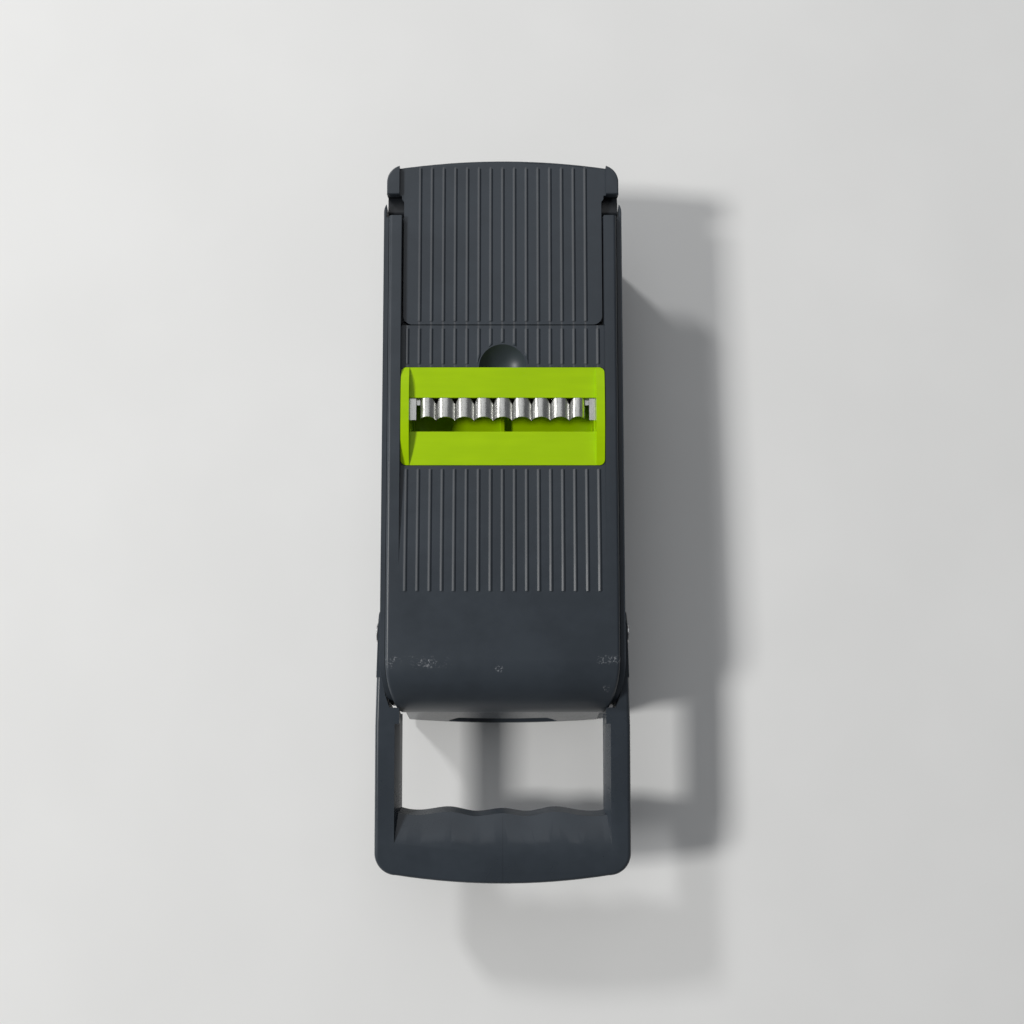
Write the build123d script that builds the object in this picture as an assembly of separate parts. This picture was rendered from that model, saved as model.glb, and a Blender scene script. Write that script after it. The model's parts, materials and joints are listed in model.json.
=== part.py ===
"""Mandoline slicer with a catch drawer, a drop-in crinkle blade insert and a folding handle.

Millimetres. +X is across the body, +Y runs from the handle to the far lid end, +Z is up.
The origin is on the table below the middle of the overall length and width.
The slicing deck slopes gently, so its pieces are drawn on a level deck datum, the plane of
the rail tops, and are then tilted into place.
"""
import math
import os

from build123d import *

# ---- driving dimensions -------------------------------------------------------------------
TIP_Y = 167.1            # far tip of the lid
GRIP_Y = -167.1          # outer edge of the handle grip
DECK_HALF = 52.9         # half width over the deck's rails
HOUSING_WALL = 2.3
SIDE_GAP = 0.3           # deck skirt to housing wall
TRACK_HALF = 47.0        # half width between the rails
DATUM_Z = 58.34          # height of the rail tops at Y = 0
DECK_SLOPE = 1.488       # degrees, rising towards the handle
SKIN = 2.4               # common moulded wall

RAIL_END_Y = 139.8
STRIP_W = -2.4           # ribbed strip and lid, below the rail tops
RAMP_START = (23.0, -2.0)
RAMP_END = (-22.7, 0.0)
CURVE_Y = -64.0          # the smooth end starts to curve down here
NEAR_Y = -91.0           # near end of the deck
CURVE_RADIUS = 26.0
SKIRT_W = -10.0
NEAR_SKIRT_W = -27.0

RIB_PITCH = 5.5
RIB_COUNT = 17
RIB_FOOT = 0.95           # half width of a rib where it meets the skin
RIB_CREST = 0.22
RIB_HEIGHT = 0.45

LID_INNER_Y = 88.6
LID_HALF = 46.05
LID_THICK = 2.5
HINGE_Y = 143.5
HINGE_W = -8.0
HINGE_PIN_R = 1.5
KNUCKLE_R = 2.8

INSERT_Y = (23.0, 68.3)
INSERT_HALF = 46.7
INSERT_CORNER = 2.5
INSERT_SEAT_W = -7.5
SEAT_HALF = 44.3
RIM_INNER = 42.9
SLOT_NEAR_Y = 38.6
EDGE_Y = 43.7            # blade edge at the bottom of each valley
PLATE_EDGE_Y = 54.2      # the landing plate ends and the blade starts
BLADE_PITCH = 8.8
BLADE_VALLEYS = 8
BLADE_TOP_W = -2.1
BLADE_DEPTH = 2.6
BLADE_THICK = 0.55
EDGE_SLANT = 0.56        # how far the edge recedes per millimetre of height
RUN_UP_W = -2.95
LANDING_W = -1.9
PLATE_UNDER_W = -4.2
RIVET_XS = (-30, 0, 30)
RIVET_Y = 58.0
RIVET_R = 1.2

FLOOR_Z = (1.5, 3.7)
HOUSING_END_Y = 148.6    # far end of the housing at its rim
HOUSING_FOOT_Y = 136.0   # far end of the housing at its floor
DRAWER_HALF = 46.5
DRAWER_Y = (-86.0, 132.0)
DRAWER_Z = (4.0, 31.0)
TRAY_WALL = 1.8
FRONT_TOP = (-91.8, 33.0)
FRONT_FOOT = (-101.2, 3.0)

HANDLE_Z = (38.0, 49.0)
HANDLE_HALF = 58.4
WING_THICK = 1.2
WING_START_Y = -44.2
WING_TIP_X = 57.0        # outer face of a wing at its round end
WING_ROOT_Y = -96.0      # the wings reach the full handle width here
WINDOW_HALF = 47.9
WINDOW_DRAFT = 1.2       # the hand opening is this much narrower at the bottom
RIM_DROP = 5.0           # depth of the slopes round the opening's top rim
RIM_RUN = 1.6            # width of the slope along the arms
GRIP_RUN = 13.5          # width of the slope across the grip
HANDLE_CLEAR = 0.6       # handle to housing, round the body's corners
WINDOW_NEAR_Y = -136.7
PIVOT = (-54.0, 43.5)    # Y and Z of the handle pivot
PIVOT_PIN_R = 2.5
RUNNING_GAP = 0.05
WASHER_R = 6.5
WASHER_X = 54.6          # floor of the washer's recess in the housing
HANDLE_SCREWS = [(-53.1, -108.0), (53.1, -108.0), (-34.0, -151.0), (34.0, -151.0)]

SCREW_YS = (-30.0, 8.0, 80.0, 128.0)
SCREW_X = 50.2
SCREW_R = 1.25
FOOT_R = 6.0
FOOT_PLACES = [(sx * 44.0, y) for sx in (-1, 1) for y in (-74.0, 128.0)]


# ---- helpers ------------------------------------------------------------------------------
def block(x0, x1, y0, y1, z0, z1):
    """Box between two corners."""
    return Pos((x0 + x1) / 2, (y0 + y1) / 2, (z0 + z1) / 2) * Box(x1 - x0, y1 - y0, z1 - z0)


def both_sides(shape):
    """A shape and its mirror image across the middle of the body."""
    return shape + mirror(shape, about=Plane.YZ)


def across(points, x0, x1):
    """Prism along X of an outline given as Y and Z."""
    face = Plane.YZ * make_face(Polyline(*points, close=True))
    return Pos(x0, 0, 0) * extrude(face, x1 - x0)


def rod_x(radius, x0, x1, y, z):
    """Round bar along X."""
    return Pos((x0 + x1) / 2, y, z) * Rot(0, 90, 0) * Cylinder(radius, x1 - x0)


def on_deck(shape):
    """Tilt a piece from the level datum onto the sloping deck."""
    return Pos(0, 0, DATUM_Z) * Rot(-DECK_SLOPE, 0, 0) * shape


def body_outline(grow, far_y):
    """Plan outline of the body, with its long rounded near corners, grown by a wall."""
    half = DECK_HALF + grow
    near = NEAR_Y - 0.3 * grow
    corner_x = 47.5 + 0.8 * grow
    mid = (51.53 + 0.95 * grow, -77.8 - 0.2 * grow)
    right = ThreePointArc((half, CURVE_Y), mid, (corner_x, near))
    left = ThreePointArc((-corner_x, near), (-mid[0], mid[1]), (-half, CURVE_Y))
    rest = [
        Line((corner_x, near), (-corner_x, near)),
        Line((-half, CURVE_Y), (-half, far_y)),
        Line((-half, far_y), (half, far_y)),
        Line((half, far_y), (half, CURVE_Y)),
    ]
    return make_face([right, left] + rest)


def roof(drop, far_y, bottom):
    """Side view of the body: flat top that curves down at the near end, lowered by drop."""
    radius = CURVE_RADIUS - drop
    centre = (NEAR_Y + CURVE_RADIUS, -CURVE_RADIUS)
    turn = math.radians(45)
    top = (centre[0], centre[1] + radius)
    mid = (centre[0] - radius * math.sin(turn), centre[1] + radius * math.cos(turn))
    end = (centre[0] - radius, centre[1])
    lines = [
        Line((far_y, -drop), top),
        ThreePointArc(top, mid, end),
        Line(end, (end[0], bottom)),
        Line((end[0], bottom), (far_y, bottom)),
        Line((far_y, bottom), (far_y, -drop)),
    ]
    return Plane.YZ * make_face(lines)


def wide(face, half):
    """Side view face extruded the same distance to both sides."""
    return extrude(face, half, both=True)


def ribs(count, y0, y1, w0, w1):
    """Row of fine roof-shaped ribs along the deck, on a surface from (y0, w0) to (y1, w1)."""
    root = -0.6
    profile = [(-RIB_FOOT, root), (-RIB_FOOT, 0), (-RIB_CREST, RIB_HEIGHT), (RIB_CREST, RIB_HEIGHT),
               (RIB_FOOT, 0), (RIB_FOOT, root)]
    face = Plane.XZ * make_face(Polyline(*profile, close=True))
    bar = extrude(face, -math.hypot(y1 - y0, w1 - w0))
    bar = Rot(math.degrees(math.atan2(w1 - w0, y1 - y0)), 0, 0) * bar
    row = []
    for i in range(count):
        x = (i - (count - 1) / 2) * RIB_PITCH
        row.append(Pos(x, y0, w0) * bar)
    return row


# ---- slicing deck -------------------------------------------------------------------------
def slicing_deck():
    outer = extrude(body_outline(0, RAIL_END_Y), 60, both=True)
    outer = outer & wide(roof(0, RAIL_END_Y, NEAR_SKIRT_W), 70)
    rim = [e for e in outer.edges() if abs(e.center().X) > 46 and e.center().Z > -12]
    outer = fillet(rim, 1.8)
    inner = extrude(body_outline(-SKIN, RAIL_END_Y + 5), 60, both=True)
    inner = inner & wide(roof(SKIN, RAIL_END_Y + 5, -60), 70)
    deck = outer - inner
    # the near skirt reaches down to the drawer front, the sides stop at the housing rim
    deck -= block(-60, 60, -66.0, RAIL_END_Y + 5, -60, SKIRT_W)
    # sloping ramp and level strip between the rails, with their own skin below
    half = TRACK_HALF
    skin = SKIN
    below_ramp = [(RAMP_END[0], -0.1), (RAMP_START[0], -0.1), (RAMP_START[0], RAMP_START[1] - skin),
                  (RAMP_END[0], -skin - 0.2)]
    deck += across(below_ramp, -half - skin, half + skin)
    deck += block(-half - skin, half + skin, RAMP_START[0], LID_INNER_Y - 0.4, STRIP_W - skin, -0.1)
    deck -= across([(RAMP_END[0], 0.0), (RAMP_END[0], 5), (RAMP_START[0], 5), RAMP_START], -half, half)
    deck -= block(-half, half, RAMP_START[0], RAIL_END_Y + 5, STRIP_W, 5)
    # side walls and ledges below the rails carry the storage well
    lid_y0 = LID_INNER_Y - 0.4
    deck += both_sides(block(TRACK_HALF - 0.2, TRACK_HALF + 1.6, lid_y0, RAIL_END_Y, -8.2, -1.0))
    deck -= block(-TRACK_HALF + 0.2, TRACK_HALF - 0.2, lid_y0, RAIL_END_Y + 5, -12, 5)
    deck += both_sides(block(44.8, TRACK_HALF, lid_y0, RAIL_END_Y, -8.2, -6.8))
    # pocket for the blade insert: wall all round and a ledge at its foot
    gap = 0.25
    y0, y1 = INSERT_Y
    wall = 1.8
    pocket = block(-INSERT_HALF - gap - wall, INSERT_HALF + gap + wall, y0 - gap - wall, y1 + gap + wall,
                   INSERT_SEAT_W - 1.6, STRIP_W - 0.5)
    scoop_r, scoop_centre = 13.1, 4.7
    cup = Pos(0, y1, scoop_centre) * Sphere(scoop_r + 1.6)
    cup = cup & block(-20, 20, y1, y1 + 20, -20, STRIP_W - 0.5)
    deck += pocket + cup
    opening = Pos(0, (y0 + y1) / 2, 0) * RectangleRounded(2 * (INSERT_HALF + gap), y1 - y0 + 2 * gap,
                                                          INSERT_CORNER)
    deck -= Pos(0, 0, INSERT_SEAT_W) * extrude(opening, 20)
    deck -= block(-SEAT_HALF, SEAT_HALF, y0 + 2.5, y1 - 1.8, -12, 0)
    deck -= Pos(0, y1, scoop_centre) * Sphere(scoop_r)
    # bosses for the screws
    for y in SCREW_YS:
        deck += both_sides(Pos(SCREW_X, y, -7.8) * Cylinder(2.4, 11.6))
        deck -= both_sides(Pos(SCREW_X, y, -9.9) * Cylinder(SCREW_R, 7.8))
    # fine ribs, and the short ones that stop at the thumb notch
    strip = ribs(RIB_COUNT, y1 + 1.8, lid_y0 - 1.6, STRIP_W, STRIP_W)
    for rib in strip:
        deck += rib - Pos(0, y1, scoop_centre) * Sphere(scoop_r + 0.6)
    slope = (RAMP_END[1] - RAMP_START[1]) / (RAMP_END[0] - RAMP_START[0])
    rib_far_y, rib_near_y = 21.0, -34.4
    rib_far_w = RAMP_START[1] + slope * (rib_far_y - RAMP_START[0])
    for rib in ribs(RIB_COUNT, RAMP_END[0], rib_far_y, 0, rib_far_w):
        deck += rib
    for rib in ribs(RIB_COUNT, rib_near_y, RAMP_END[0] + 0.3, 0, 0):
        deck += rib
    return on_deck(deck)


def deck_screws():
    group = []
    for y in SCREW_YS:
        shank = Pos(SCREW_X, y, -13.0) * Cylinder(SCREW_R, 13.0)
        head = Pos(SCREW_X, y, -17.1) * Cylinder(2.3, 1.4)
        drive = Pos(SCREW_X, y, -17.5) * (Box(2.6, 0.6, 0.8) + Box(0.6, 2.6, 0.8))
        screw = shank & block(0, 60, -200, 200, -16.4, -6.4)
        screw = screw + head - drive
        group += [on_deck(screw), on_deck(mirror(screw, about=Plane.YZ))]
    return Compound(children=group)


def storage_well():
    half, wall = 44.5, 1.6
    y0, y1 = 90.5, 137.5
    well = block(-half, half, y0, y1, -20, -5.4) + block(-46.4, 46.4, y0, y1, -6.7, -5.4)
    well -= block(-half + wall, half - wall, y0 + wall, y1 - wall, -20 + wall, 0)
    return on_deck(well)


# ---- base housing -------------------------------------------------------------------------
def far_face(z):
    """Y of the leaning far face of the housing at a height."""
    rim_z = 51.6
    return HOUSING_FOOT_Y + (HOUSING_END_Y - HOUSING_FOOT_Y) * (z - FLOOR_Z[0]) / (rim_z - FLOOR_Z[0])


def lean(back, z0, z1):
    """Everything nearer than the leaning far face, moved in by a wall, between two heights."""
    return across([(-120, z0), (far_face(z0) - back, z0), (far_face(z1) - back, z1), (-120, z1)], -80, 80)


def base_housing():
    inner_half = DECK_HALF + SIDE_GAP
    outer_half = inner_half + HOUSING_WALL
    outer = extrude(body_outline(SIDE_GAP + HOUSING_WALL, 160), 80) & lean(0, FLOOR_Z[0], 80)
    corners = [e for e in outer.edges() if abs(e.center().X) > 50 and e.center().Y > 130 and e.length > 70]
    outer = fillet(corners, 6.0)
    body = outer & on_deck(wide(roof(3.0, 200, -90), 80))
    body -= extrude(body_outline(SIDE_GAP, 160), 80) & lean(HOUSING_WALL + 0.1, FLOOR_Z[1], 80)
    # the far wall stays below the lid hinge, and lower still below the lid's cheeks
    body -= on_deck(block(-inner_half, inner_half, 130, 170, -11.8, 40))
    body -= on_deck(both_sides(block(45.6, 54.3, 139.9, 170, -18.0, 40)))
    # drawer mouth, with the floor cut back to clear the drawer front
    mouth_half = DRAWER_HALF + 0.7
    body -= block(-mouth_half, mouth_half, -120, -80, FLOOR_Z[1], 90)
    body -= block(-mouth_half, mouth_half, -120, DRAWER_Y[0] + 0.4, 0, FLOOR_Z[1] + 0.1)
    # guides beside the drawer
    body += both_sides(block(DRAWER_HALF + 0.4, 48.7, -84, 132, FLOOR_Z[1] - 0.5, 12))
    # lugs for the deck screws
    for y in SCREW_YS:
        lug = block(47.6, inner_half + 1, y - 4, y + 4, -16.4, -13.7)
        lug -= Pos(SCREW_X, y, -15) * Cylinder(SCREW_R + 0.15, 6)
        body += on_deck(both_sides(lug))
    # knuckles of the lid hinge
    x0, x1 = 41.2, 45.2
    knuckle = rod_x(KNUCKLE_R, x0, x1, HINGE_Y, HINGE_W)
    knuckle += across([(142.8, -18), (142.6, -12), (HINGE_Y - 2.6, HINGE_W), (HINGE_Y + 2.6, HINGE_W),
                       (145.8, -12), (144.4, -18)], x0, x1)
    knuckle -= rod_x(HINGE_PIN_R + RUNNING_GAP, x0 - 1, x1 + 1, HINGE_Y, HINGE_W)
    body += on_deck(both_sides(knuckle))
    # pivot holes with a round recess for each washer, and ledges that stop the handle when down
    body -= rod_x(PIVOT_PIN_R + 0.03, -80, 80, *PIVOT)
    body -= both_sides(rod_x(WASHER_R + 0.1, WASHER_X, outer_half + 1, *PIVOT))
    body += both_sides(block(53.8, 56.4, -70, -63.4, 34.2, HANDLE_Z[0] - 0.3))
    # pockets for the feet
    for x, y in FOOT_PLACES:
        body -= Pos(x, y, FLOOR_Z[0] + 0.35) * Cylinder(FOOT_R, 0.7)
    return body


def rubber_feet():
    feet = []
    for x, y in FOOT_PLACES:
        pad = Pos(x, y, 1.1) * Cylinder(FOOT_R, 2.2)
        rim = pad.edges().sort_by(Axis.Z)[0]
        feet.append(fillet(rim, 0.6))
    return Compound(children=feet)


# ---- storage lid --------------------------------------------------------------------------
def storage_lid():
    top, under = STRIP_W, STRIP_W - LID_THICK
    neck_y, ear_y = 149.0, 150.1
    corner = 4.2
    plate = Pos(0, (LID_INNER_Y + neck_y) / 2, under) * extrude(
        RectangleRounded(2 * LID_HALF, neck_y - LID_INNER_Y + 10, corner), LID_THICK)
    plate = plate & block(-60, 60, LID_INNER_Y - 5, neck_y - 3, -20, 5)
    plate = Pos(0, 5, 0) * plate & block(-60, 60, LID_INNER_Y, neck_y, -20, 5)
    neck = 47.1
    shoulder = 48.2
    tip_x, tip_y = shoulder, 163.6
    head = make_face([
        Line((-LID_HALF, neck_y - 2), (-neck, ear_y - 1.6)),
        Line((-neck, ear_y - 1.6), (-neck, ear_y)),
        Line((-neck, ear_y), (-shoulder, ear_y)),
        Line((-shoulder, ear_y), (-tip_x, tip_y)),
        ThreePointArc((-tip_x, tip_y), (0, TIP_Y), (tip_x, tip_y)),
        Line((tip_x, tip_y), (shoulder, ear_y)),
        Line((shoulder, ear_y), (neck, ear_y)),
        Line((neck, ear_y), (neck, ear_y - 1.6)),
        Line((neck, ear_y - 1.6), (LID_HALF, neck_y - 2)),
        Line((LID_HALF, neck_y - 2), (-LID_HALF, neck_y - 2)),
    ])
    lid = plate + Pos(0, 0, under) * extrude(head, LID_THICK)
    tip_edges = [e for e in lid.edges() if e.center().Y > 164.5 and e.center().Z > top - 0.2]
    lid = fillet(tip_edges, 1.4)
    # raised ears, curved on the outside
    ear = make_face([
        Line((shoulder, ear_y), (54.0, ear_y)),
        Line((54.0, ear_y), (54.0, 156.5)),
        ThreePointArc((54.0, 156.5), (52.2, 161.2), (shoulder, 163.9)),
        Line((shoulder, 163.9), (shoulder, ear_y)),
    ])
    ear = Pos(0, 0, under) * extrude(ear, 4.5)
    ear_rim = [e for e in ear.edges() if e.center().X > 49 and e.center().Z > -0.6]
    ear = fillet(ear_rim, 0.7)
    lid += both_sides(ear)
    for rib in ribs(RIB_COUNT - 2, LID_INNER_Y + 1.6, 163.0, top, top):
        lid += rib
    # stiffening skirt below, clear of the well, and the hinge knuckles
    lid += both_sides(block(42.3, 43.9, LID_INNER_Y + 6, 134, under - 0.4, under + 0.1))
    knuckle = rod_x(KNUCKLE_R, 36.4, 40.8, HINGE_Y, HINGE_W)
    knuckle += across([(HINGE_Y - 2.8, HINGE_W), (HINGE_Y - 5, under + 0.1), (HINGE_Y + 5, under + 0.1),
                       (HINGE_Y + 2.8, HINGE_W)], 36.4, 40.8)
    knuckle -= rod_x(HINGE_PIN_R, 36, 41, HINGE_Y, HINGE_W)
    lid += both_sides(knuckle)
    # sunk cheeks at the hinge line carry the ears and close the view past the rail ends
    radius = 2.2
    x0, x1 = LID_HALF - 0.1, 53.9
    cheek = rod_x(radius, x0, x1, HINGE_Y, HINGE_W)
    cheek += across([(HINGE_Y, HINGE_W + radius), (ear_y + 0.1, -6.4), (ear_y + 0.1, under + 0.9),
                     (153.0, under + 0.9), (153.0, -7.8), (148.5, -9.2), (HINGE_Y, HINGE_W - radius)],
                    x0, x1)
    lid += both_sides(cheek)
    return on_deck(lid)


def lid_hinge_pins():
    pin = rod_x(HINGE_PIN_R, 36.4, 45.8, HINGE_Y, HINGE_W)
    return Compound(children=[on_deck(pin), on_deck(mirror(pin, about=Plane.YZ))])


# ---- blade insert -------------------------------------------------------------------------
def insert_frame():
    y0, y1 = INSERT_Y
    bottom = INSERT_SEAT_W
    blank = Pos(0, (y0 + y1) / 2, bottom) * extrude(
        RectangleRounded(2 * INSERT_HALF, y1 - y0, INSERT_CORNER), 12)
    # the side rims rise from the plates in a long low arch
    near_rim, far_rim, crown = -2.25, -1.75, 0.5
    arch = Plane.YZ * make_face([
        Line((y0, bottom), (y0, near_rim)),
        ThreePointArc((y0, near_rim), (y0 + 9, -0.6), (y0 + 20, crown)),
        Line((y0 + 20, crown), (y1 - 12, crown)),
        ThreePointArc((y1 - 12, crown), (y1 - 5, -0.2), (y1, far_rim)),
        Line((y1, far_rim), (y1, bottom)),
        Line((y1, bottom), (y0, bottom)),
    ])
    frame = blank & wide(arch, 60)
    slot = SLOT_NEAR_Y
    run_up = [(y0 - 1, -2.45), (slot, RUN_UP_W)]
    frame -= across([run_up[0], (y0 - 1, 5), (slot, 5), run_up[1]], -RIM_INNER, RIM_INNER)
    frame -= block(-RIM_INNER, RIM_INNER, slot, PLATE_EDGE_Y, -20, 5)
    frame -= block(-RIM_INNER, RIM_INNER, PLATE_EDGE_Y, y1 + 1, LANDING_W, 5)
    # hollows below the two plates
    frame -= across([(y0 + 1.6, bottom - 1), (y0 + 1.6, -4.2), (slot + 1, -4.9), (slot + 1, bottom - 1)],
                    -RIM_INNER + 0.5, RIM_INNER - 0.5)
    inside = RIM_INNER - 0.5
    frame -= block(-inside, inside, PLATE_EDGE_Y - 1, y1 - 1.6, bottom - 1, PLATE_UNDER_W)
    for x in RIVET_XS:
        frame -= Pos(x, RIVET_Y, PLATE_UNDER_W) * Cylinder(RIVET_R, 2.4)
    return on_deck(frame)


def crinkle_blade():
    half = BLADE_PITCH / 2
    start = -(BLADE_VALLEYS - 1) * half
    valley = BLADE_TOP_W - BLADE_DEPTH
    knots = [start + i * BLADE_PITCH for i in range(BLADE_VALLEYS)]
    ends = (start - 7.2, start + (BLADE_VALLEYS - 1) * BLADE_PITCH + 7.2)
    tail = valley + 1.0

    def arches(drop):
        low, high, side = valley - drop, BLADE_TOP_W - drop, BLADE_TOP_W - 0.15 - drop
        pieces = [ThreePointArc((ends[0], tail - drop), (start - half - 1, side), (knots[0], low))]
        for a, b in zip(knots, knots[1:]):
            pieces.append(ThreePointArc((a, low), ((a + b) / 2, high), (b, low)))
        pieces.append(ThreePointArc((knots[-1], low), (knots[-1] + half + 1, side), (ends[1], tail - drop)))
        return pieces

    closing = [Line((ends[0], tail), (ends[0], tail - BLADE_THICK)),
               Line((ends[1], tail), (ends[1], tail - BLADE_THICK))]
    section = Plane.XZ * make_face(arches(0) + arches(BLADE_THICK) + closing)
    wave = extrude(section, -(PLATE_EDGE_Y - EDGE_Y + 6))
    wave = Pos(0, EDGE_Y - 3, 0) * wave
    low = valley - BLADE_THICK
    cut = across([(EDGE_Y - 10, low - 1), (EDGE_Y - EDGE_SLANT, low - 1),
                  (EDGE_Y + EDGE_SLANT * (BLADE_DEPTH + 2), low + BLADE_DEPTH + 2),
                  (EDGE_Y - 10, low + BLADE_DEPTH + 2)], -60, 60)
    wave = (wave - cut) & block(-60, 60, 0, PLATE_EDGE_Y - 0.1, -20, 5)
    bar_top = valley - 0.15
    bar = block(-RIM_INNER + 0.5, RIM_INNER - 0.5, 51.2, 61.0, bar_top - BLADE_THICK, bar_top)
    tab_top = -3.0
    tab = block(39.8, RIM_INNER - 0.1, EDGE_Y + 0.3, PLATE_EDGE_Y - 0.1, tab_top - BLADE_THICK, tab_top)
    web = block(39.8, RIM_INNER - 0.5, 52.6, 53.2, bar_top - BLADE_THICK, tab_top - 0.1)
    blade = wave + bar + both_sides(tab) + both_sides(web)
    for x in RIVET_XS:
        blade -= Pos(x, RIVET_Y, bar_top) * Cylinder(RIVET_R, 3)
    return on_deck(blade)


def blade_rivets():
    bar_bottom = BLADE_TOP_W - BLADE_DEPTH - 0.15 - BLADE_THICK
    top = PLATE_UNDER_W + 1.2
    group = []
    for x in RIVET_XS:
        shank = Pos(x, RIVET_Y, (bar_bottom + top) / 2) * Cylinder(RIVET_R, top - bar_bottom)
        head = Pos(x, RIVET_Y, bar_bottom - 0.4) * Cylinder(2.1, 0.8)
        group.append(on_deck(shank + fillet(head.edges().sort_by(Axis.Z)[0], 0.4)))
    return Compound(children=group)


def slice_guide():
    """Chute below the slot: it carries slices away from the blade, and drops them to the drawer."""
    half = 43.8
    wall = 1.5
    top = INSERT_SEAT_W
    floor_top = [(27.5, -17.0), (60.0, -21.5)]
    chute = across([floor_top[0], floor_top[1], (60.0, -23.1), (27.5, -18.6)], -half, half)
    cheek = across([(27.5, top), (27.5, -18.6), (60.0, -23.1), (64.0, top)], half - wall, half)
    back = block(-half, half, 27.5, 27.5 + wall, -18.0, top)
    rib = across([(29.0, -13.5), (29.0, -18.0), (60.0, -22.0), (60.0, -18.5)], -0.9, 0.9)
    return on_deck(chute + both_sides(cheek) + back + rib)


# ---- drawer -------------------------------------------------------------------------------
def drawer_tray():
    y0, y1 = DRAWER_Y
    z0, z1 = DRAWER_Z
    tray = block(-DRAWER_HALF, DRAWER_HALF, y0, y1, z0, z1)
    tray = fillet([e for e in tray.edges() if abs(e.length - (z1 - z0)) < 0.01], 4.0)
    hollow = block(-DRAWER_HALF + TRAY_WALL, DRAWER_HALF - TRAY_WALL, y0 + TRAY_WALL, y1 - TRAY_WALL,
                   z0 + TRAY_WALL, z1 + 5)
    hollow = fillet([e for e in hollow.edges() if e.center().Z < z1 and abs(e.center().Z - 20) < 60], 2.0)
    tray -= hollow
    for x in (-25, 25):
        tray -= Pos(x, y0, 18) * Rot(90, 0, 0) * Cylinder(1.25, 10)
    return tray


def front_shape(inset):
    """Wedge between the tray and the leaning, bowed front face, shrunk by a wall."""
    half = 46.8 - inset
    back = DRAWER_Y[0]
    depth = 1.8
    layers = []
    for (y, z) in (FRONT_FOOT, FRONT_TOP):
        face_y = y + inset
        level = z + inset if z == FRONT_FOOT[1] else z - inset
        outline = make_face([
            ThreePointArc((-half, face_y + depth), (0, face_y), (half, face_y + depth)),
            Line((half, face_y + depth), (half, back)),
            Line((half, back), (-half, back)),
            Line((-half, back), (-half, face_y + depth)),
        ])
        layers.append(Pos(0, 0, level) * outline)
    return loft(layers)


def drawer_front():
    front = front_shape(0)
    front -= front_shape(SKIN) - block(-50, 50, -88.4, -80, 0, 40)
    front += block(-46.8, 46.8, -88.4, DRAWER_Y[0], FRONT_FOOT[1], FRONT_TOP[1])
    # finger scoop across the lower half of the face
    scoop = Plane.XZ * make_face(Polyline((-28, 4.6), (28, 4.6), (21.5, 15.2), (-21.5, 15.2), close=True))
    pocket = extrude(scoop, 20, both=True)
    pocket = fillet(pocket.edges().filter_by(Axis.Y), 1.5)
    pocket = Pos(0, -100, 0) * pocket & block(-60, 60, -120, -89.4, 0, 40)
    shell = front_shape(0) & (Pos(0, -100, 0) * fillet(
        extrude(Plane.XZ * make_face(Polyline((-30.5, 2.9), (30.5, 2.9), (23.0, 17.4), (-23.0, 17.4),
                                              close=True)), 20, both=True).edges().filter_by(Axis.Y), 1.5))
    front = front + shell - pocket
    for x in (-25, 25):
        front -= Pos(x, DRAWER_Y[0], 18) * Rot(90, 0, 0) * Cylinder(1.25, 4.2)
    return front


def drawer_screws():
    group = []
    for x in (-25, 25):
        inside = DRAWER_Y[0] + TRAY_WALL
        shank = Pos(x, inside - 1.9, 18) * Rot(90, 0, 0) * Cylinder(1.25, 3.8)
        head = Pos(x, inside + 0.6, 18) * Rot(90, 0, 0) * Cylinder(2.4, 1.2)
        drive = Pos(x, inside + 1.2, 18) * (Box(2.6, 0.8, 0.6) + Box(0.6, 0.8, 2.6))
        group.append(shank + head - drive)
    return Compound(children=group)


# ---- handle -------------------------------------------------------------------------------
def grip_curve(grow, run, depth):
    """Wavy inner edge of the grip, with a hollow for each finger, moved back by a run."""
    crest, hollow = 1.2 * depth, -1.0 * depth
    half = WINDOW_HALF + grow
    waves = [(-half, crest - 0.5 * depth), (-35, hollow + 0.8 * depth), (-24, crest - 0.2 * depth),
             (-12.5, hollow), (0, crest - 0.9 * depth), (11.5, hollow), (23, crest - 0.2 * depth),
             (35, hollow + 0.5 * depth), (half, hollow + 0.6 * depth)]
    return Spline(*[(x, WINDOW_NEAR_Y - run + y) for x, y in waves])


def handle_outer(inset):
    """Plan outline of the whole handle, with round outer corners and a bowed outer edge."""
    corner = 10.0 - inset
    side_end, far = -153.4, -163.4 + inset
    half = HANDLE_HALF - inset
    root = -70.0 - 4 * inset
    root_half = half - 0.6
    diagonal = corner * (1 - math.cos(math.radians(45)))
    right = ThreePointArc((half, side_end), (half - diagonal, far + diagonal), (half - corner, far))
    left = ThreePointArc((corner - half, far), (diagonal - half, far + diagonal), (-half, side_end))
    return make_face([
        Line((-root_half, root), (root_half, root)),
        Line((root_half, root), (half, WING_ROOT_Y)),
        Line((half, WING_ROOT_Y), (half, side_end)),
        right,
        ThreePointArc((half - corner, far), (0, GRIP_Y + inset), (corner - half, far)),
        left,
        Line((-half, side_end), (-half, WING_ROOT_Y)),
        Line((-half, WING_ROOT_Y), (-root_half, root)),
    ])


def handle_window(grow, run=None, depth=1.0):
    """Plan outline of the hand opening, with its grip edge moved back by its own run."""
    wave = grip_curve(grow, grow if run is None else run, depth)
    half = WINDOW_HALF + grow
    return make_face([
        wave,
        Line(wave @ 1, (half, -80)),
        Line((half, -80), (-half, -80)),
        Line((-half, -80), wave @ 0),
    ])


def body_space(grow):
    """Plan outline of the space the handle leaves for the body's round corners."""
    return body_outline(SIDE_GAP + HOUSING_WALL + HANDLE_CLEAR + grow, RAIL_END_Y)


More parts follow.
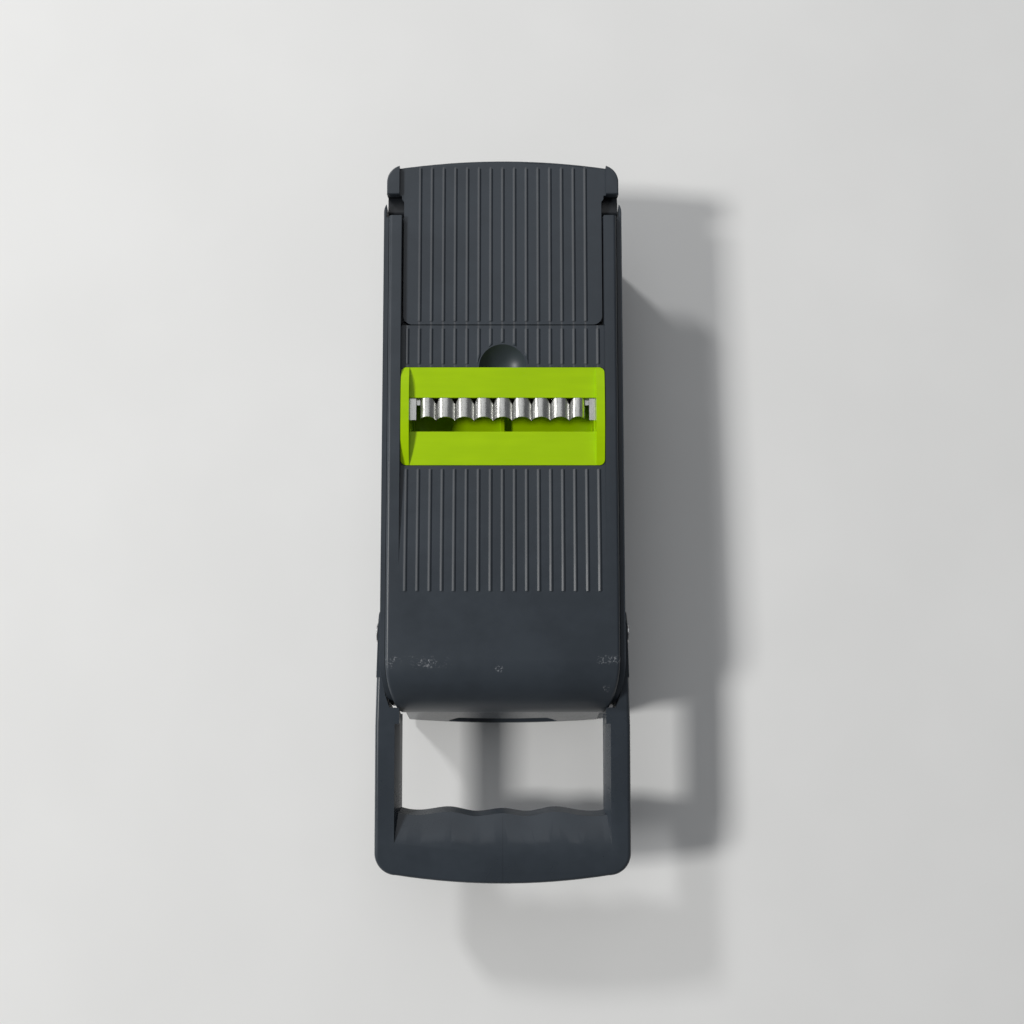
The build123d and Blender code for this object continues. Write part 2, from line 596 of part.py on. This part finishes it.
def hand_opening():
    """The hand opening: it narrows downwards, and its top rim slopes back towards the fingers."""
    z0, z1 = HANDLE_Z
    bottom = Pos(0, 0, z0 - 0.5) * handle_window(-WINDOW_DRAFT)
    middle = Pos(0, 0, z1 - RIM_DROP) * handle_window(0)
    top = Pos(0, 0, z1 + 0.5) * handle_window(RIM_RUN, GRIP_RUN, 0.3)
    return loft([bottom, middle, top], ruled=True)


def handle_core(inset, height):
    """Prism of the hollow below the handle's top skin."""
    core = extrude(handle_outer(inset), height)
    core -= extrude(handle_window(inset), height)
    core -= extrude(body_space(inset), height)
    return core


def handle_frame():
    z0, z1 = HANDLE_Z
    frame = Pos(0, 0, z0) * extrude(handle_outer(0), z1 - z0)
    rim = [e for e in frame.edges() if e.center().Z > z1 - 0.1 and e.center().Y < -71]
    frame = fillet(rim, 2.0)
    frame -= hand_opening()
    frame -= extrude(body_space(0), 90)
    # the hollow is deep in the arms and shallow below the sloping grip
    frame -= Pos(0, 0, z0) * handle_core(SKIN, 4.2)
    frame -= Pos(0, 0, z0) * handle_core(SKIN, z1 - z0 - SKIN) & block(-80, 80, -132, 0, 0, 90)
    # corner webs that follow the body's curved end
    web = across([(-95, z1), (-87.7, z1), (-90.3, 44.0), (-92.1, 40.0), (-95, 40.0)], WINDOW_HALF - 0.6, 54.5)
    frame += both_sides(web)
    # side wings taper towards a round end at the pivot
    pivot_y, pivot_z = PIVOT
    thick = WING_THICK
    wing_end = -74.0
    end_half = HANDLE_HALF - 0.5
    wing = Pos(0, 0, z0) * extrude(make_face(Polyline(
        (WING_TIP_X, WING_START_Y), (WING_TIP_X - thick, WING_START_Y), (WING_TIP_X - thick, -64.0),
        (end_half - 1.7, wing_end), (end_half, wing_end), close=True)), z1 - z0)
    nose = [e for e in wing.edges().filter_by(Axis.X) if e.center().Y > -50]
    wing = fillet(nose, 4.5)
    wing -= extrude(body_space(0), 90) & block(-80, 80, wing_end, -60, 0, 90)
    wing -= rod_x(PIVOT_PIN_R + RUNNING_GAP, 50, 60, pivot_y, pivot_z)
    frame += both_sides(wing)
    # posts for the cover screws
    for x, y in HANDLE_SCREWS:
        frame += Pos(x, y, z0 + 5.6) * Cylinder(2.6, 7.0)
        frame -= Pos(x, y, z0 + 5.6) * Cylinder(1.25, 7.0)
    return frame


def handle_cover():
    z0 = HANDLE_Z[0]
    cover = Pos(0, 0, z0) * handle_core(SKIN + 0.1, 2.0)
    for x, y in HANDLE_SCREWS:
        cover -= Pos(x, y, z0 + 1) * Cylinder(1.4, 4)
        cover -= Pos(x, y, z0) * Cylinder(2.4, 1.6)
    return cover


def handle_screws():
    z0 = HANDLE_Z[0]
    group = []
    for x, y in HANDLE_SCREWS:
        head = Pos(x, y, z0 + 0.45) * Cylinder(2.3, 0.7)
        shank = Pos(x, y, z0 + 4.4) * Cylinder(1.25, 7.4)
        drive = Pos(x, y, z0) * (Box(2.4, 0.6, 1.0) + Box(0.6, 2.4, 1.0))
        group.append(head + shank - drive)
    return Compound(children=group)


# ---- handle pivots ------------------------------------------------------------------------
def pivot_pin():
    y, z = PIVOT
    head_x = WING_TIP_X + 0.05
    pin = rod_x(PIVOT_PIN_R, 49.6, head_x + 0.6, y, z) + rod_x(4.5, head_x + 0.55, head_x + 1.1, y, z)
    pin -= rod_x(5.0, 50.4, 51.3, y, z) - rod_x(1.8, 50.4, 51.3, y, z)
    return pin


def pivot_washer():
    y, z = PIVOT
    face = WING_TIP_X - WING_THICK - 0.1
    return rod_x(WASHER_R, WASHER_X, face, y, z) - rod_x(PIVOT_PIN_R + 0.03, WASHER_X - 1, face + 1, y, z)


def retaining_clip():
    y, z = PIVOT
    clip = rod_x(4.6, 50.45, 51.25, y, z) - rod_x(1.8, 50, 52, y, z)
    return clip - block(50, 52, y - 1.3, y + 1.3, z - 8, z)


def pair(piece):
    """The same piece on the left and on the right of the body."""
    return Compound(children=[piece, mirror(piece, about=Plane.YZ)])


NODES = {
    "base_housing": base_housing,
    "rubber_feet": rubber_feet,
    "slicing_deck": slicing_deck,
    "deck_screws": deck_screws,
    "storage_well": storage_well,
    "storage_lid": storage_lid,
    "lid_hinge_pins": lid_hinge_pins,
    "insert_frame": insert_frame,
    "crinkle_blade": crinkle_blade,
    "blade_rivets": blade_rivets,
    "slice_guide": slice_guide,
    "drawer_tray": drawer_tray,
    "drawer_front": drawer_front,
    "drawer_screws": drawer_screws,
    "handle_frame": handle_frame,
    "handle_cover": handle_cover,
    "handle_screws": handle_screws,
    "right_pivot_pin": pivot_pin,
    "left_pivot_pin": lambda: mirror(pivot_pin(), about=Plane.YZ),
    "pivot_washers": lambda: pair(pivot_washer()),
    "retaining_clips": lambda: pair(retaining_clip()),
}


def main():
    os.makedirs("parts", exist_ok=True)
    for name, make in NODES.items():
        solids = make().solids()
        piece = solids[0] if len(solids) == 1 else Compound(children=list(solids))
        export_step(piece, f"parts/{name}.step")


main()
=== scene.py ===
# %% [markdown]
# # A mandoline slicer, finished in Blender
# The slicer comes in as a fixed frame: every moulding, pin and screw already has its real shape,
# its place and its joint. This file gives it what the frame lacks: rounded moulded edges, satin
# plastic with its fine texture and wear, a ground steel blade, light, a worktop and a camera.

# %% Load the frame
import json
import math
import bmesh
import bpy
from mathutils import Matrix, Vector

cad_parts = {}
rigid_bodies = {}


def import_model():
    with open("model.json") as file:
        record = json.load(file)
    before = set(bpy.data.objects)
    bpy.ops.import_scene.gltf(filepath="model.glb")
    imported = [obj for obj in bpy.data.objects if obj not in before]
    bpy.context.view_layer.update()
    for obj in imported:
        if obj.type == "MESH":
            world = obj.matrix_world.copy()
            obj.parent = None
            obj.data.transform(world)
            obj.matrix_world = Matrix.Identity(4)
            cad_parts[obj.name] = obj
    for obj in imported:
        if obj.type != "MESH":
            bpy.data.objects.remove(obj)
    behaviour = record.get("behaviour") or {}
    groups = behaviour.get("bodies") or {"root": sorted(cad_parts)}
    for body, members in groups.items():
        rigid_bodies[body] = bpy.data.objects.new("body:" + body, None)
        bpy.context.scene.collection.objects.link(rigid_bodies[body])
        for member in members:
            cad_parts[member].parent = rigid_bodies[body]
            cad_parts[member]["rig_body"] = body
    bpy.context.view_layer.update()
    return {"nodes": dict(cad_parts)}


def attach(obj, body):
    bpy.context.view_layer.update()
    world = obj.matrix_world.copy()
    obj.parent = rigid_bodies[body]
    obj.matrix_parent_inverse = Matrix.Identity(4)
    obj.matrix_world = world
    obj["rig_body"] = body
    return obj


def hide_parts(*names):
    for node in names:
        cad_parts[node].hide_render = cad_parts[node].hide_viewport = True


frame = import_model()
nodes = frame["nodes"]
body_of_node = {name: node["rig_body"] for name, node in nodes.items()}
MM = 0.001
MM_PER_METRE = 1000.0

# %% [markdown]
# ## Shader maths that reads like maths
# A material here is a small formula over the surface. A class that wraps a socket and overloads
# the operators lets the formula be written as Python, and every operator adds one Math node.

# %% The shader expression class
class Value:
    """One socket of a node tree, with arithmetic."""

    def __init__(self, tree, socket):
        self.tree = tree
        self.socket = socket

    def math(self, operation, *others):
        return self.tree.add("ShaderNodeMath", {"operation": operation}, self, *others)

    def __add__(self, other):
        return self.math("ADD", other)

    def __sub__(self, other):
        return self.math("SUBTRACT", other)

    def __rsub__(self, other):
        return (self * -1) + other

    def __mul__(self, other):
        return self.math("MULTIPLY", other)

    def __pow__(self, other):
        return self.math("POWER", other)

    def clamped(self):
        """Held between 0 and 1."""
        return self.math("MINIMUM", 1.0).math("MAXIMUM", 0.0)

    def above(self, edge, soft):
        """0 below edge, 1 from edge + soft upwards, with a smooth step between."""
        settings = {"interpolation_type": "SMOOTHSTEP"}
        return self.tree.add("ShaderNodeMapRange", settings, self, edge, edge + soft, 0.0, 1.0)

    __radd__ = __add__


OBJECT_OUTPUT = 3  # the Object output of a Texture Coordinate node


class Tree:
    """A new material, and the methods that add nodes to it."""

    def __init__(self, name):
        self.material = bpy.data.materials.new(name)
        self.material.use_nodes = True
        self.nodes = self.material.node_tree.nodes
        self.links = self.material.node_tree.links
        self.shader = self.nodes["Principled BSDF"]

    def plug(self, socket, value):
        if isinstance(value, Value):
            self.links.new(value.socket, socket)
        elif value is not None:
            socket.default_value = value

    def add(self, kind, settings=None, *inputs, output=0, **named):
        node = self.nodes.new(kind)
        for key, value in (settings or {}).items():
            setattr(node, key, value)
        sockets = [s for s in node.inputs if s.enabled]
        for socket, value in zip(sockets, inputs):
            self.plug(socket, value)
        for key, value in named.items():
            self.plug(next(s for s in sockets if s.name == key.replace("_", " ")), value)
        outputs = [s for s in node.outputs if s.enabled]
        return Value(self, outputs[output])

    def place(self, scale):
        """Object coordinates, stretched."""
        where = self.add("ShaderNodeTexCoord", None, output=OBJECT_OUTPUT)
        return self.add("ShaderNodeMapping", None, where, Scale=scale)

    def noise(self, size_mm, detail, rough=0.5, stretch=(1, 1, 1)):
        """Noise whose largest blots are about size_mm wide. A small stretch makes them longer."""
        scale = tuple(MM_PER_METRE / size_mm * s for s in stretch)
        return self.add("ShaderNodeTexNoise", None, self.place(scale), Scale=1.0, Detail=detail,
                        Roughness=rough)

    def parts(self):
        """X, Y and Z of the surface point, in millimetres."""
        split = self.add("ShaderNodeSeparateXYZ", None, self.place((MM_PER_METRE,) * 3))
        return [Value(self, s) for s in split.socket.node.outputs]

    def mix(self, factor, first, second):
        return self.add("ShaderNodeMix", {"data_type": "RGBA"}, factor, first, second)

    def bump(self, height, depth_mm, strength):
        return self.add("ShaderNodeBump", None, Strength=strength, Distance=depth_mm * MM,
                        Height=height)

    def finish(self, base_color, roughness, normal=None, **fixed):
        """Plugs what varies over the surface, and sets what is the same all over."""
        for name, value in (("Base Color", base_color), ("Roughness", roughness), ("Normal", normal)):
            self.plug(self.shader.inputs[name], value)
        for name, value in fixed.items():
            self.shader.inputs[name.replace("_", " ")].default_value = value
        return self.material


def band(value, middle, half, soft):
    """1 within half of the middle, falling to 0 over soft."""
    return 1 - (value - middle).math("ABSOLUTE").above(half, soft)


print("shader helpers ready")

# %% [markdown]
# ## Satin moulded plastic
# The mouldings are slate-grey ABS from a finely spark-eroded tool: the surface breaks up the
# gloss without looking grainy. Three things make it real: a fine bump, a slow change of
# roughness where hands have polished it, and a slight change of shade. Tints over it mark the
# scuffs, the parting line of the grip, a painted highlight with rub wear along the rib crests,
# and painted deep shade beside the lid's ears.

# %% The body plastic
GRAIN_MM = 0.45
PLASTIC_IOR = 1.5
SLATE_SPECULAR = 0.36
DARKEST, LIGHTEST = 0.92, 1.10
SEAM_SHADE, SEAM_TINT = (0.012, 0.014, 0.018, 1.0), 0.45
LIT_AND_RUBBED_PALE, RIB_TINT = (0.115, 0.118, 0.124, 1.0), 0.5
DEEP_SHADE, HINGE_TINT = (0.006, 0.007, 0.009, 1.0), 0.85


def moulded_plastic(name, colour, rough, grain_depth=0.006, scuffs=False, seam=False,
                    rib_reach=0.0, painted_hinge_shade=False):
    tree = Tree(name)
    slow = tree.noise(size_mm=38.0, detail=2.0)
    fine = tree.noise(GRAIN_MM, detail=2.0)
    cloudy = tree.noise(size_mm=6.0, detail=3.0)
    light = tuple(c * LIGHTEST for c in colour[:3]) + (1.0,)
    dark = tuple(c * DARKEST for c in colour[:3]) + (1.0,)
    shade = (slow * 0.7 + cloudy * 0.3).above(edge=0.35, soft=0.3)
    base = tree.mix(shade, dark, light)
    roughness = rough + (slow - 0.5) * 0.10 + (cloudy - 0.5) * 0.06
    height = fine
    if scuffs:
        base, roughness, height = add_scuffs(tree, base, roughness, height)
    if seam:
        line = seam_line(tree)
        base, height = tree.mix(line * SEAM_TINT, base, SEAM_SHADE), height - line
    # Painted highlight, with rub wear, along the rib crests.
    if rib_reach:
        base = tree.mix(rib_highlight_and_wear(tree, rib_reach) * RIB_TINT, base, LIT_AND_RUBBED_PALE)
    # Painted deep shade low down beside the lid's ears.
    if painted_hinge_shade:
        base = tree.mix(hinge_shade(tree) * HINGE_TINT, base, DEEP_SHADE)
    normal = tree.bump(height, grain_depth, strength=0.6)
    return tree.finish(base_color=base, roughness=roughness, normal=normal, IOR=PLASTIC_IOR,
                       Specular_IOR_Level=SLATE_SPECULAR)


# Where the specks lie: middle, half width and soft edge across X, then the same along Y, in mm.
LEFT_SCUFF = (-39.0, 9.0, 8.0), (-66.2, 1.2, 2.0)
RIGHT_SCUFF = (48.0, 4.5, 2.5), (-65.0, 0.8, 1.6)
MIDDLE_SCUFF = (-2.0, 1.2, 1.6), (-69.0, 0.6, 1.6)
LOW_SCUFF = (46.6, 0.8, 0.9), (-78.0, 0.8, 1.4)
SCUFF_PALE, SCUFF_TINT = (0.30, 0.31, 0.33, 1.0), 0.75
SCUFF_ROUGHER, SCUFF_RAISED = 0.3, 0.4


def spot(x, y, across, along):
    return band(y, *along) * band(x, *across)


def add_scuffs(tree, base, roughness, height):
    """Pale rubbed specks along the crease where the smooth end starts to curve down."""
    x, y, _ = tree.parts()
    specks = tree.noise(size_mm=1.1, detail=4.0, rough=0.75).above(edge=0.53, soft=0.10)
    patches = tree.noise(size_mm=9.0, detail=2.0, stretch=(1, 0.5, 1)).above(edge=0.40, soft=0.15)
    left = spot(x, y, *LEFT_SCUFF) * patches
    right, middle, low = (spot(x, y, *place) for place in (RIGHT_SCUFF, MIDDLE_SCUFF, LOW_SCUFF))
    mark = (specks * (left + right + middle + low)).clamped() * SCUFF_TINT
    return (tree.mix(mark, base, SCUFF_PALE), roughness + mark * SCUFF_ROUGHER,
            height + mark * SCUFF_RAISED)


HINGE_GAP_TOP = 49.8
HINGE_GAP_INNER = 45.8


def hinge_shade(tree):
    """1 low down beside each ear: painted shade that stands for a gap deeper than the frame has."""
    x, _, z = tree.parts()
    low = 1 - z.above(HINGE_GAP_TOP, soft=1.0)
    return low * x.math("ABSOLUTE").above(HINGE_GAP_INNER, soft=0.3)


RIB_PITCH = 5.5
CREST = (-0.045, 0.045, 0.05)  # middle, half width and soft edge, as parts of a pitch
FAR_RIBS = (115.5, 48.0, 0.5)  # middle, half length and soft edge along Y, in mm
NEAR_RIBS = (-6.5, 27.5, 0.5)
SCOOP_Y, SCOOP_RADIUS = 68.3, 12.4


def rib_highlight_and_wear(tree, reach):
    """1 along the crests of the fine ribs, but not in the thumb scoop: a painted highlight on the
    crests, which food also rubs pale.
    """
    x, y, _ = tree.parts()
    across = (x * (1 / RIB_PITCH) + 0.5).math("FRACT") - 0.5
    crest = band(across, *CREST)
    rows = band(y, *FAR_RIBS) + band(y, *NEAR_RIBS)
    from_scoop = (x * x + (y - SCOOP_Y) * (y - SCOOP_Y)) ** 0.5
    return (crest * rows * band(x, middle=0.0, half=reach, soft=0.3)
            * from_scoop.above(SCOOP_RADIUS, soft=0.4))


SEAM_FAR_END = -138.0


def seam_line(tree):
    """Fine parting line across the middle of the grip."""
    x, y, _ = tree.parts()
    return band(x, middle=0.0, half=0.05, soft=0.14) * (1 - y.above(SEAM_FAR_END, soft=1.0))


SLATE = (0.034, 0.042, 0.052, 1.0)
TRAY_GREY = (0.045, 0.054, 0.064, 1.0)
body_plastic = moulded_plastic("satin_slate_plastic", SLATE, rough=0.40)
deck_plastic = moulded_plastic("satin_slate_plastic_rubbed", SLATE, rough=0.38, scuffs=True,
                               rib_reach=45.2)
lid_plastic = moulded_plastic("satin_slate_lid_plastic", SLATE, rough=0.38, rib_reach=40.0,
                              painted_hinge_shade=True)
tray_plastic = moulded_plastic("tray_plastic", TRAY_GREY, rough=0.36)
front_plastic = moulded_plastic("polished_front_plastic", SLATE, rough=0.20, grain_depth=0.002)
handle_plastic = moulded_plastic("handle_plastic", SLATE, rough=0.29, grain_depth=0.003, seam=True)
print("slate plastics made")

# %% [markdown]
# ## Lime plastic of the blade insert
# The insert is moulded in a strong lime green with a polished tool, so it is smoother than the
# body. Soft streaks along its length vary the shade and the roughness a little.

# %% The insert plastic
LIME_DARK, LIME_LIGHT = (0.345, 0.565, 0.0, 1.0), (0.385, 0.615, 0.0004, 1.0)
LIME_ROUGHNESS, LIME_SPECULAR = 0.30, 0.16


def lime_plastic(name):
    tree = Tree(name)
    slow = tree.noise(size_mm=22.0, detail=2.0)
    streak = tree.noise(size_mm=3.0, detail=2.0, stretch=(0.12, 1, 1))
    fine = tree.noise(size_mm=0.7, detail=2.0)
    shade = (slow * 0.6 + streak * 0.4).above(edge=0.35, soft=0.35)
    base = tree.mix(shade, LIME_DARK, LIME_LIGHT)
    roughness = LIME_ROUGHNESS + (slow - 0.5) * 0.12 + (streak - 0.5) * 0.05
    normal = tree.bump(fine + streak * 0.4, depth_mm=0.004, strength=0.5)
    return tree.finish(base_color=base, roughness=roughness, normal=normal, IOR=PLASTIC_IOR,
                       Specular_IOR_Level=LIME_SPECULAR)


insert_plastic = lime_plastic("lime_insert_plastic")
print("lime plastic made")

# %% [markdown]
# ## Ground and turned steel
# The blade is stainless strip, pressed into waves and ground at the edge. Grinding leaves fine
# scratches along one direction, so a noise is stretched hard along that direction. Pins and
# screws are turned or rolled, with shorter and rounder marks. The frame's waves have no deep
# notch where they run in below the landing plate, so a dark tint stands for the shade there.

# %% The steels
WAVE_PITCH = 8.8
TROUGH_START, TROUGH_SPREAD = 51.2, 0.66  # where each dark V begins along Y, and how fast it widens
BLADE_HALF = 36.0
TROUGH_SHADE, TROUGH_TINT = (0.012, 0.014, 0.006, 1.0), 0.94
STEEL_DARKEST = 0.80


def trough_shade(tree):
    """1 in a V at the end of each trough."""
    x, y, _ = tree.parts()
    across = ((x * (1 / WAVE_PITCH)).math("FRACT") - 0.5).math("ABSOLUTE") * WAVE_PITCH
    reach = (y - TROUGH_START) * TROUGH_SPREAD
    return ((reach - across).above(edge=0.0, soft=0.35)
            * band(x, middle=0.0, half=BLADE_HALF, soft=0.5))


def steel(name, colour, rough, scratch_mm, stretch, dark_troughs=False):
    tree = Tree(name)
    scratch = tree.noise(scratch_mm, detail=4.0, rough=0.65, stretch=stretch)
    cloud = tree.noise(size_mm=4.0, detail=3.0)
    shade = scratch.above(edge=0.3, soft=0.4)
    dark = tuple(c * STEEL_DARKEST for c in colour[:3]) + (1.0,)
    base = tree.mix(shade, dark, colour)
    if dark_troughs:
        base = tree.mix(trough_shade(tree) * TROUGH_TINT, base, TROUGH_SHADE)
    roughness = rough + (scratch - 0.5) * 0.22 + (cloud - 0.5) * 0.12
    normal = tree.bump(scratch, depth_mm=0.006, strength=0.7)
    return tree.finish(base_color=base, roughness=roughness, normal=normal, Metallic=1.0)


blade_steel = steel("ground_blade_steel", (0.74, 0.74, 0.71, 1.0), rough=0.27, scratch_mm=0.5,
                    stretch=(1.0, 0.10, 1.0), dark_troughs=True)
pin_steel = steel("turned_pin_steel", (0.62, 0.62, 0.62, 1.0), rough=0.30, scratch_mm=0.4,
                  stretch=(0.2, 1.0, 1.0))
screw_steel = steel("plated_screw_steel", (0.55, 0.55, 0.56, 1.0), rough=0.34, scratch_mm=0.5,
                    stretch=(1.0, 1.0, 1.0))
print("steels made")

# %% [markdown]
# ## Nylon and rubber
# The friction washers are black nylon and the feet are soft rubber, both dull and a bit dusty.

# %% Nylon and rubber
DUST = (0.16, 0.155, 0.15, 1.0)


def dull_black(name, colour, rough, dust):
    tree = Tree(name)
    cloud = tree.noise(size_mm=5.0, detail=4.0)
    grain = tree.noise(size_mm=0.5, detail=3.0)
    base = tree.mix(cloud.above(edge=0.45, soft=0.3) * dust, colour, DUST)
    roughness = rough + (grain - 0.5) * 0.15
    normal = tree.bump(grain, depth_mm=0.02, strength=0.6)
    return tree.finish(base_color=base, roughness=roughness, normal=normal)


washer_nylon = dull_black("washer_nylon", (0.02, 0.02, 0.022, 1.0), rough=0.5, dust=0.05)
foot_rubber = dull_black("foot_rubber", (0.028, 0.028, 0.028, 1.0), rough=0.75, dust=0.35)
print("nylon and rubber made")

# %% [markdown]
# ## Moulded edges for every piece
# A moulding never has a razor edge: the tool leaves a small radius, and that radius catches a
# thin line of light. The frame's pieces come as loose triangles with sharp edges. A copy of each
# is merged, its flat faces are joined again, and its sharp edges get a narrow bevel. The copy
# stands for the frame's piece, which stays hidden for the motion.

# %% Copies with moulded edges
# Each piece's material and the radius of its edges in mm. The blade's edges stay sharp.
FINISHES = {
    "base_housing": (body_plastic, 0.30),
    "rubber_feet": (foot_rubber, 0.15),
    "slicing_deck": (deck_plastic, 0.16),
    "deck_screws": (screw_steel, 0.08),
    "storage_well": (body_plastic, 0.30),
    "storage_lid": (lid_plastic, 0.16),
    "lid_hinge_pins": (pin_steel, 0.15),
    "insert_frame": (insert_plastic, 0.25),
    "crinkle_blade": (blade_steel, 0.0),
    "blade_rivets": (pin_steel, 0.1),
    "slice_guide": (insert_plastic, 0.25),
    "drawer_tray": (tray_plastic, 0.3),
    "drawer_front": (front_plastic, 0.3),
    "drawer_screws": (screw_steel, 0.08),
    "handle_frame": (handle_plastic, 0.5),
    "handle_cover": (handle_plastic, 0.25),
    "handle_screws": (screw_steel, 0.08),
    "right_pivot_pin": (pin_steel, 0.12),
    "left_pivot_pin": (pin_steel, 0.12),
    "pivot_washers": (washer_nylon, 0.12),
    "retaining_clips": (pin_steel, 0.06),
}
SHARP = math.radians(28)  # a shading edge
BEVELLED = math.radians(50)  # an edge that gets a radius
SAME_PLACE = 2e-6
SAME_PLANE = math.radians(0.6)
BEVEL_SEGMENTS = 2


def moulded_copy(name, material, radius_mm):
    source = nodes[name]
    mesh = source.data.copy()
    mesh.materials.clear()
    mesh.materials.append(material)
    bm = bmesh.new()
    bm.from_mesh(mesh)
    bmesh.ops.remove_doubles(bm, verts=bm.verts, dist=SAME_PLACE)
    bmesh.ops.dissolve_limit(bm, angle_limit=SAME_PLANE, verts=bm.verts, edges=bm.edges)
    for face in bm.faces:
        face.smooth = True
    for edge in bm.edges:
        edge.smooth = not (len(edge.link_faces) == 2 and edge.calc_face_angle(0.0) > SHARP)
    bm.to_mesh(mesh)
    bm.free()
    piece = bpy.data.objects.new(name + "_moulded", mesh)
    bpy.context.scene.collection.objects.link(piece)
    if radius_mm:
        bevel = piece.modifiers.new("moulded edge", "BEVEL")
        bevel.width = radius_mm * MM
        bevel.segments = BEVEL_SEGMENTS
        bevel.limit_method = "ANGLE"
        bevel.angle_limit = BEVELLED
        bevel.harden_normals = True
    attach(piece, body_of_node[name])
    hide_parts(name)


for name, finish in FINISHES.items():
    moulded_copy(name, *finish)
print("moulded copies:", len(FINISHES))

# %% [markdown]
# ## A plain worktop
# A plain pale worktop takes the shadows. It is stage and not part of the slicer.

# %% Worktop
WORKTOP_HALF = 3.0
WORKTOP_DARK, WORKTOP_LIGHT = (0.81, 0.81, 0.80, 1.0), (0.84, 0.84, 0.83, 1.0)


def worktop():
    bm = bmesh.new()
    bmesh.ops.create_grid(bm, x_segments=1, y_segments=1, size=WORKTOP_HALF)
    mesh = bpy.data.meshes.new("worktop")
    bm.to_mesh(mesh)
    bm.free()
    floor = bpy.data.objects.new("worktop", mesh)
    bpy.context.scene.collection.objects.link(floor)
    tree = Tree("pale_worktop")
    cloud = tree.noise(size_mm=90.0, detail=3.0)
    base = tree.mix(cloud.above(edge=0.3, soft=0.5), WORKTOP_DARK, WORKTOP_LIGHT)
    mesh.materials.append(tree.finish(base_color=base, roughness=0.62 + cloud * 0.1,
                                      Specular_IOR_Level=0.2))


worktop()
print("worktop laid")

# %% [markdown]
# ## Light
# Two small lights cast the two crossing shadows: a strong one from the left and a weaker one from
# the far left. A wide weak light high beyond the far end stands for a pale ceiling, and a dim pale
# world fills what is left.

# %% Lights
LIGHT_DISTANCE = 3.0
WORLD_COLOUR, WORLD_STRENGTH = (0.93, 0.96, 1.0, 1.0), 0.13


def area_light(name, azimuth, elevation, size, power, colour):
    """A square soft light. Azimuth is counted from +X towards +Y, seen from above."""
    a, e = math.radians(azimuth), math.radians(elevation)
    towards = Vector((math.cos(a) * math.cos(e), math.sin(a) * math.cos(e), math.sin(e)))
    data = bpy.data.lights.new(name, "AREA")
    data.shape = "SQUARE"
    data.size = size
    data.energy = power
    data.color = colour
    lamp = bpy.data.objects.new(name, data)
    lamp.location = towards * LIGHT_DISTANCE
    lamp.rotation_mode = "QUATERNION"
    lamp.rotation_quaternion = (-towards).to_track_quat("-Z", "Y")
    bpy.context.scene.collection.objects.link(lamp)


area_light("window_left", azimuth=181.0, elevation=42.0, size=0.45, power=53.8,
           colour=(1.0, 0.99, 0.97))
area_light("window_far_left", azimuth=128.0, elevation=31.7, size=0.30, power=31.6,
           colour=(1.0, 1.0, 1.0))
area_light("pale_ceiling", azimuth=98.0, elevation=56.0, size=2.6, power=17.5,
           colour=(0.97, 0.98, 1.0))
world = bpy.data.worlds.new("pale_room")
world.use_nodes = True
background = world.node_tree.nodes["Background"]
background.inputs["Color"].default_value = WORLD_COLOUR
background.inputs["Strength"].default_value = WORLD_STRENGTH
bpy.context.scene.world = world
bpy.context.scene.view_settings.view_transform = "Standard"
print("lights ready")

# %% [markdown]
# ## Camera
# The camera looks almost straight down from about half a metre, leaning slightly to the far end.

# %% Camera
CAMERA_PLACE = (0.0006, -0.0263, 0.5215)
CAMERA_TILT = math.radians(3.41)
SENSOR_MM = FOCAL_MM = 36.0
SHIFT_ACROSS = 0.0078
lens = bpy.data.cameras.new("camera")
lens.sensor_width = SENSOR_MM
lens.lens = FOCAL_MM
lens.shift_x = SHIFT_ACROSS
lens.dof.use_dof = False
camera = bpy.data.objects.new("camera", lens)
camera.location = CAMERA_PLACE
camera.rotation_euler = (CAMERA_TILT, 0, 0)
bpy.context.scene.collection.objects.link(camera)
bpy.context.scene.camera = camera
print("camera at", tuple(round(v, 3) for v in camera.location))
